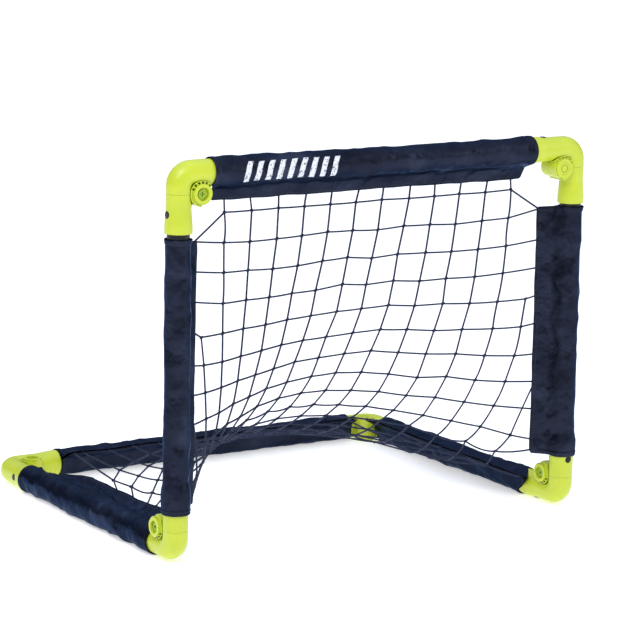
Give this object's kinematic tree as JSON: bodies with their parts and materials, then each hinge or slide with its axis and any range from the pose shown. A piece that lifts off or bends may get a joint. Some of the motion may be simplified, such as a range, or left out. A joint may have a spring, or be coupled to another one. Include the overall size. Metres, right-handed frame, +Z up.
{
  "type": "folding goal",
  "caption": "Folding junior ball goal: sleeved tube frame with push-button folding corner fittings, a slack cord net and a ground frame that folds up flat.",
  "frame": {"origin": "centre of the footprint on the ground", "axes": "+X to the right seen from the pitch, +Y from the goal line to the back bar, +Z up"},
  "size_m": [0.553, 0.4428, 0.4426],
  "materials": {
    "lime_plastic": "smooth injection-moulded, slightly glossy",
    "black_plastic": "fine moulded texture",
    "zinc_steel": "bright zinc plate",
    "black_tube": "extruded, satin",
    "navy_fabric": "coated woven polyester with a soft sheen",
    "grip_tape": "hook-and-loop pile",
    "net_cord": "twisted knotted polyester cord"
  },
  "bodies": {
    "front_frame": {"crossbar_tube": "black_tube", "left_post_tube": "black_tube", "right_post_tube": "black_tube", "elbow_top_left": "lime_plastic", "elbow_top_right": "lime_plastic", "socket_top_left": "lime_plastic", "socket_top_right": "lime_plastic", "socket_front_left": "lime_plastic", "socket_front_right": "lime_plastic", "lock_springs_front": "zinc_steel", "pivot_screws_front": "zinc_steel", "sleeve_crossbar": "navy_fabric", "sleeve_left_post": "navy_fabric", "sleeve_right_post": "navy_fabric", "grip_tapes_front": "grip_tape", "net": "net_cord"},
    "ground_frame": {"left_ground_tube": "black_tube", "right_ground_tube": "black_tube", "back_tube": "black_tube", "elbow_front_left": "lime_plastic", "elbow_front_right": "lime_plastic", "elbow_back_left": "lime_plastic", "elbow_back_right": "lime_plastic", "socket_back_left": "lime_plastic", "socket_back_right": "lime_plastic", "lock_springs_ground": "zinc_steel", "pivot_screws_ground": "zinc_steel", "sleeve_left_ground": "navy_fabric", "sleeve_right_ground": "navy_fabric", "sleeve_back_bar": "navy_fabric", "grip_tapes_ground": "grip_tape"},
    "button_top_left": {"lock_button_top_left": "lime_plastic"},
    "gear_top_left": {"lock_gear_top_left": "black_plastic"},
    "button_top_right": {"lock_button_top_right": "lime_plastic"},
    "gear_top_right": {"lock_gear_top_right": "black_plastic"},
    "button_front_left": {"lock_button_front_left": "lime_plastic"},
    "gear_front_left": {"lock_gear_front_left": "black_plastic"},
    "button_front_right": {"lock_button_front_right": "lime_plastic"},
    "gear_front_right": {"lock_gear_front_right": "black_plastic"},
    "button_back_left": {"lock_button_back_left": "lime_plastic"},
    "gear_back_left": {"lock_gear_back_left": "black_plastic"},
    "button_back_right": {"lock_button_back_right": "lime_plastic"},
    "gear_back_right": {"lock_gear_back_right": "black_plastic"},
    "catch_crossbar_left": {"catch_crossbar_left": "black_plastic"},
    "catch_crossbar_right": {"catch_crossbar_right": "black_plastic"},
    "catch_left_post_top": {"catch_left_post_top": "black_plastic"},
    "catch_left_post_bottom": {"catch_left_post_bottom": "black_plastic"},
    "catch_right_post_top": {"catch_right_post_top": "black_plastic"},
    "catch_right_post_bottom": {"catch_right_post_bottom": "black_plastic"},
    "catch_left_ground_front": {"catch_left_ground_front": "black_plastic"},
    "catch_left_ground_back": {"catch_left_ground_back": "black_plastic"},
    "catch_right_ground_front": {"catch_right_ground_front": "black_plastic"},
    "catch_right_ground_back": {"catch_right_ground_back": "black_plastic"},
    "catch_back_bar_left": {"catch_back_bar_left": "black_plastic"},
    "catch_back_bar_right": {"catch_back_bar_right": "black_plastic"}
  },
  "joints": [
    {"name": "ground_fold", "type": "hinge", "parent": "front_frame", "child": "ground_frame", "pos_m": [0, -0.18413, 0.0365], "axis": [1, 0, 0], "range_deg": [0, 90]},
    {"name": "press_top_left", "type": "slide", "parent": "front_frame", "child": "button_top_left", "axis": [0, -1, 0], "range_m": [0, 0.0032], "deforming": ["lock_springs_front"]},
    {"name": "gear_shift_top_left", "type": "slide", "parent": "front_frame", "child": "gear_top_left", "axis": [0, -1, 0], "range_m": [0, 0.0032]},
    {"name": "press_top_right", "type": "slide", "parent": "front_frame", "child": "button_top_right", "axis": [0, 1, 0], "range_m": [0, 0.0032]},
    {"name": "gear_shift_top_right", "type": "slide", "parent": "front_frame", "child": "gear_top_right", "axis": [0, 1, 0], "range_m": [0, 0.0032]},
    {"name": "press_front_left", "type": "slide", "parent": "front_frame", "child": "button_front_left", "axis": [-1, 0, 0], "range_m": [0, 0.0032]},
    {"name": "gear_shift_front_left", "type": "slide", "parent": "ground_frame", "child": "gear_front_left", "axis": [-1, 0, 0], "range_m": [0, 0.0032]},
    {"name": "press_front_right", "type": "slide", "parent": "front_frame", "child": "button_front_right", "axis": [-1, 0, 0], "range_m": [0, 0.0032]},
    {"name": "gear_shift_front_right", "type": "slide", "parent": "ground_frame", "child": "gear_front_right", "axis": [-1, 0, 0], "range_m": [0, 0.0032]},
    {"name": "press_back_left", "type": "slide", "parent": "ground_frame", "child": "button_back_left", "axis": [0, 0, 1], "range_m": [0, 0.0032], "deforming": ["lock_springs_ground"]},
    {"name": "gear_shift_back_left", "type": "slide", "parent": "ground_frame", "child": "gear_back_left", "axis": [0, 0, 1], "range_m": [0, 0.0032]},
    {"name": "press_back_right", "type": "slide", "parent": "ground_frame", "child": "button_back_right", "axis": [0, 0, -1], "range_m": [0, 0.0032]},
    {"name": "gear_shift_back_right", "type": "slide", "parent": "ground_frame", "child": "gear_back_right", "axis": [0, 0, -1], "range_m": [0, 0.0032]},
    {"name": "catch_in_crossbar_left", "type": "slide", "parent": "front_frame", "child": "catch_crossbar_left", "axis": [0, 0, -1], "range_m": [0, 0.0036]},
    {"name": "catch_in_crossbar_right", "type": "slide", "parent": "front_frame", "child": "catch_crossbar_right", "axis": [0, 0, -1], "range_m": [0, 0.0036]},
    {"name": "catch_in_left_post_top", "type": "slide", "parent": "front_frame", "child": "catch_left_post_top", "axis": [1, 0, 0], "range_m": [0, 0.0036]},
    {"name": "catch_in_left_post_bottom", "type": "slide", "parent": "front_frame", "child": "catch_left_post_bottom", "axis": [0, 1, 0], "range_m": [0, 0.0036]},
    {"name": "catch_in_right_post_top", "type": "slide", "parent": "front_frame", "child": "catch_right_post_top", "axis": [-1, 0, 0], "range_m": [0, 0.0036]},
    {"name": "catch_in_right_post_bottom", "type": "slide", "parent": "front_frame", "child": "catch_right_post_bottom", "axis": [0, 1, 0], "range_m": [0, 0.0036]},
    {"name": "catch_in_left_ground_front", "type": "slide", "parent": "ground_frame", "child": "catch_left_ground_front", "axis": [0, 0, 1], "range_m": [0, 0.0036]},
    {"name": "catch_in_left_ground_back", "type": "slide", "parent": "ground_frame", "child": "catch_left_ground_back", "axis": [1, 0, 0], "range_m": [0, 0.0036]},
    {"name": "catch_in_right_ground_front", "type": "slide", "parent": "ground_frame", "child": "catch_right_ground_front", "axis": [0, 0, 1], "range_m": [0, 0.0036]},
    {"name": "catch_in_right_ground_back", "type": "slide", "parent": "ground_frame", "child": "catch_right_ground_back", "axis": [-1, 0, 0], "range_m": [0, 0.0036]},
    {"name": "catch_in_back_bar_left", "type": "slide", "parent": "ground_frame", "child": "catch_back_bar_left", "axis": [0, -1, 0], "range_m": [0, 0.0036]},
    {"name": "catch_in_back_bar_right", "type": "slide", "parent": "ground_frame", "child": "catch_back_bar_right", "axis": [0, -1, 0], "range_m": [0, 0.0036]}
  ],
  "couplings": [
    {"joint": "gear_shift_top_left", "follows": "press_top_left", "ratio": 1},
    {"joint": "gear_shift_top_right", "follows": "press_top_right", "ratio": 1},
    {"joint": "gear_shift_front_left", "follows": "press_front_left", "ratio": 1},
    {"joint": "gear_shift_front_right", "follows": "press_front_right", "ratio": 1},
    {"joint": "gear_shift_back_left", "follows": "press_back_left", "ratio": 1},
    {"joint": "gear_shift_back_right", "follows": "press_back_right", "ratio": 1}
  ]
}
